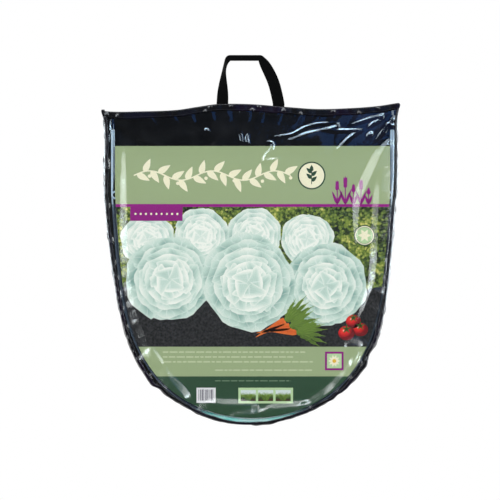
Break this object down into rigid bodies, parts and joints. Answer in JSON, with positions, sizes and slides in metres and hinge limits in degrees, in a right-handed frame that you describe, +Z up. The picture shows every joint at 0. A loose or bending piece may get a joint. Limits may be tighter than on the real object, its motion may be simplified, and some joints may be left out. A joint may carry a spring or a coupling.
{
  "type": "packed row cover tunnel",
  "caption": "Garden row cover tunnel packed in a U-shaped carry bag: clear vinyl front, black back and gusset, webbing handle, insert card, wire hoops and folded mesh cover.",
  "frame": {"origin": "under the middle of the handle's grip, in the plane of its webbing, where a hook or a hand holds the pack", "axes": "+Z up along the hanging pack, +X to the right seen from the front, +Y to the back; the clear window faces -Y"},
  "size_m": [0.5142, 0.0645, 0.6352],
  "materials": {
    "webbing": "woven polypropylene webbing, matt",
    "black_vinyl": "supple black vinyl, glossy with soft wrinkles",
    "clear_vinyl": "clear flexible vinyl, very glossy",
    "seam_binding": "black vinyl binding, semi-matt",
    "printed_card": "printed card, satin",
    "galvanised_wire": "galvanised steel wire",
    "mesh_casing": "doubled fine polyethylene mesh",
    "micro_mesh": "fine woven polyethylene mesh, translucent"
  },
  "bodies": {
    "handle": {"handle_loop": "webbing"},
    "bag": {"back_panel": "black_vinyl", "gusset": "black_vinyl", "front_window": "clear_vinyl", "front_binding": "seam_binding", "back_binding": "seam_binding", "front_hem": "seam_binding", "back_hem": "seam_binding", "side_hem_left": "seam_binding", "side_hem_right": "seam_binding", "handle_end_left": "webbing", "handle_end_right": "webbing"},
    "card": {"insert_card": "printed_card"},
    "tunnel": {"hoop_1": "galvanised_wire", "hoop_2": "galvanised_wire", "hoop_3": "galvanised_wire", "hoop_4": "galvanised_wire", "hoop_5": "galvanised_wire", "hoop_6": "galvanised_wire", "casing_1": "mesh_casing", "casing_2": "mesh_casing", "casing_3": "mesh_casing", "casing_4": "mesh_casing", "casing_5": "mesh_casing", "casing_6": "mesh_casing", "cover_bay_1": "micro_mesh", "cover_bay_2": "micro_mesh", "cover_bay_3": "micro_mesh", "cover_bay_4": "micro_mesh", "cover_bay_5": "micro_mesh", "end_net_front": "micro_mesh", "end_net_back": "micro_mesh"}
  },
  "joints": [
    {"name": "handle_swing", "type": "hinge", "parent": "handle", "child": "bag", "pos_m": [0, 0.00105, -0.07279], "axis": [1, 0, 0], "range_deg": [0, 165]},
    {"name": "card_lift", "type": "slide", "parent": "bag", "child": "card", "axis": [0, 0, 1], "range_m": [0, 0.55]},
    {"name": "tunnel_lift", "type": "slide", "parent": "bag", "child": "tunnel", "axis": [0, 0, 1], "range_m": [0, 0.56]}
  ]
}
